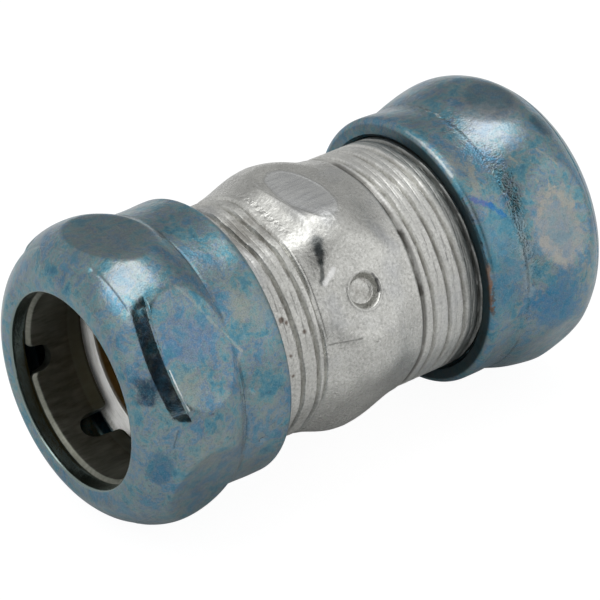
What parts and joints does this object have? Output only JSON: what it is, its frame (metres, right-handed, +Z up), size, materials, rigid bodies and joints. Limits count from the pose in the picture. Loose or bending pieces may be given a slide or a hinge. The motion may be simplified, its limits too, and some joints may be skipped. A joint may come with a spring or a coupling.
{
  "type": "conduit compression coupling",
  "caption": "Hexagon-waisted steel coupling that joins two thin-wall conduits end to end, with a screwed gland nut and a slotted gland ring at each mouth.",
  "frame": {"origin": "on the axis, midway between the two nuts' mouths", "axes": "+X along the conduit axis towards the right nut, +Z up through a flat of the body's hexagonal middle"},
  "size_m": [0.0536, 0.029, 0.028],
  "materials": {
    "zinc_plated": "satin zinc plate",
    "blue_chromate": "glossy blue chromate with mottled colour",
    "ring_steel": "dull drawn steel"
  },
  "bodies": {
    "coupling": {"coupling_body": "zinc_plated"},
    "left_ring": {"gland_ring_left": "ring_steel"},
    "left_nut": {"gland_nut_left": "blue_chromate"},
    "right_ring": {"gland_ring_right": "ring_steel"},
    "right_nut": {"gland_nut_right": "blue_chromate"}
  },
  "joints": [
    {"name": "left_nut_advance", "type": "slide", "parent": "coupling", "child": "left_ring", "axis": [1, 0, 0], "range_m": [-0.00618, 0.00067]},
    {"name": "left_nut_turn", "type": "hinge", "parent": "left_ring", "child": "left_nut", "pos_m": [-0.0194, 0, 0], "axis": [1, 0, 0], "range_deg": [-1224, 130]},
    {"name": "right_nut_advance", "type": "slide", "parent": "coupling", "child": "right_ring", "axis": [1, 0, 0], "range_m": [-0.00304, 0.00382]},
    {"name": "right_nut_turn", "type": "hinge", "parent": "right_ring", "child": "right_nut", "pos_m": [0.0194, 0, 0], "axis": [1, 0, 0], "range_deg": [-600, 756]}
  ],
  "couplings": [
    {"joint": "left_nut_advance", "follows": "left_nut_turn", "m_per_rad": 0.00028875},
    {"joint": "right_nut_advance", "follows": "right_nut_turn", "m_per_rad": 0.00028875}
  ]
}
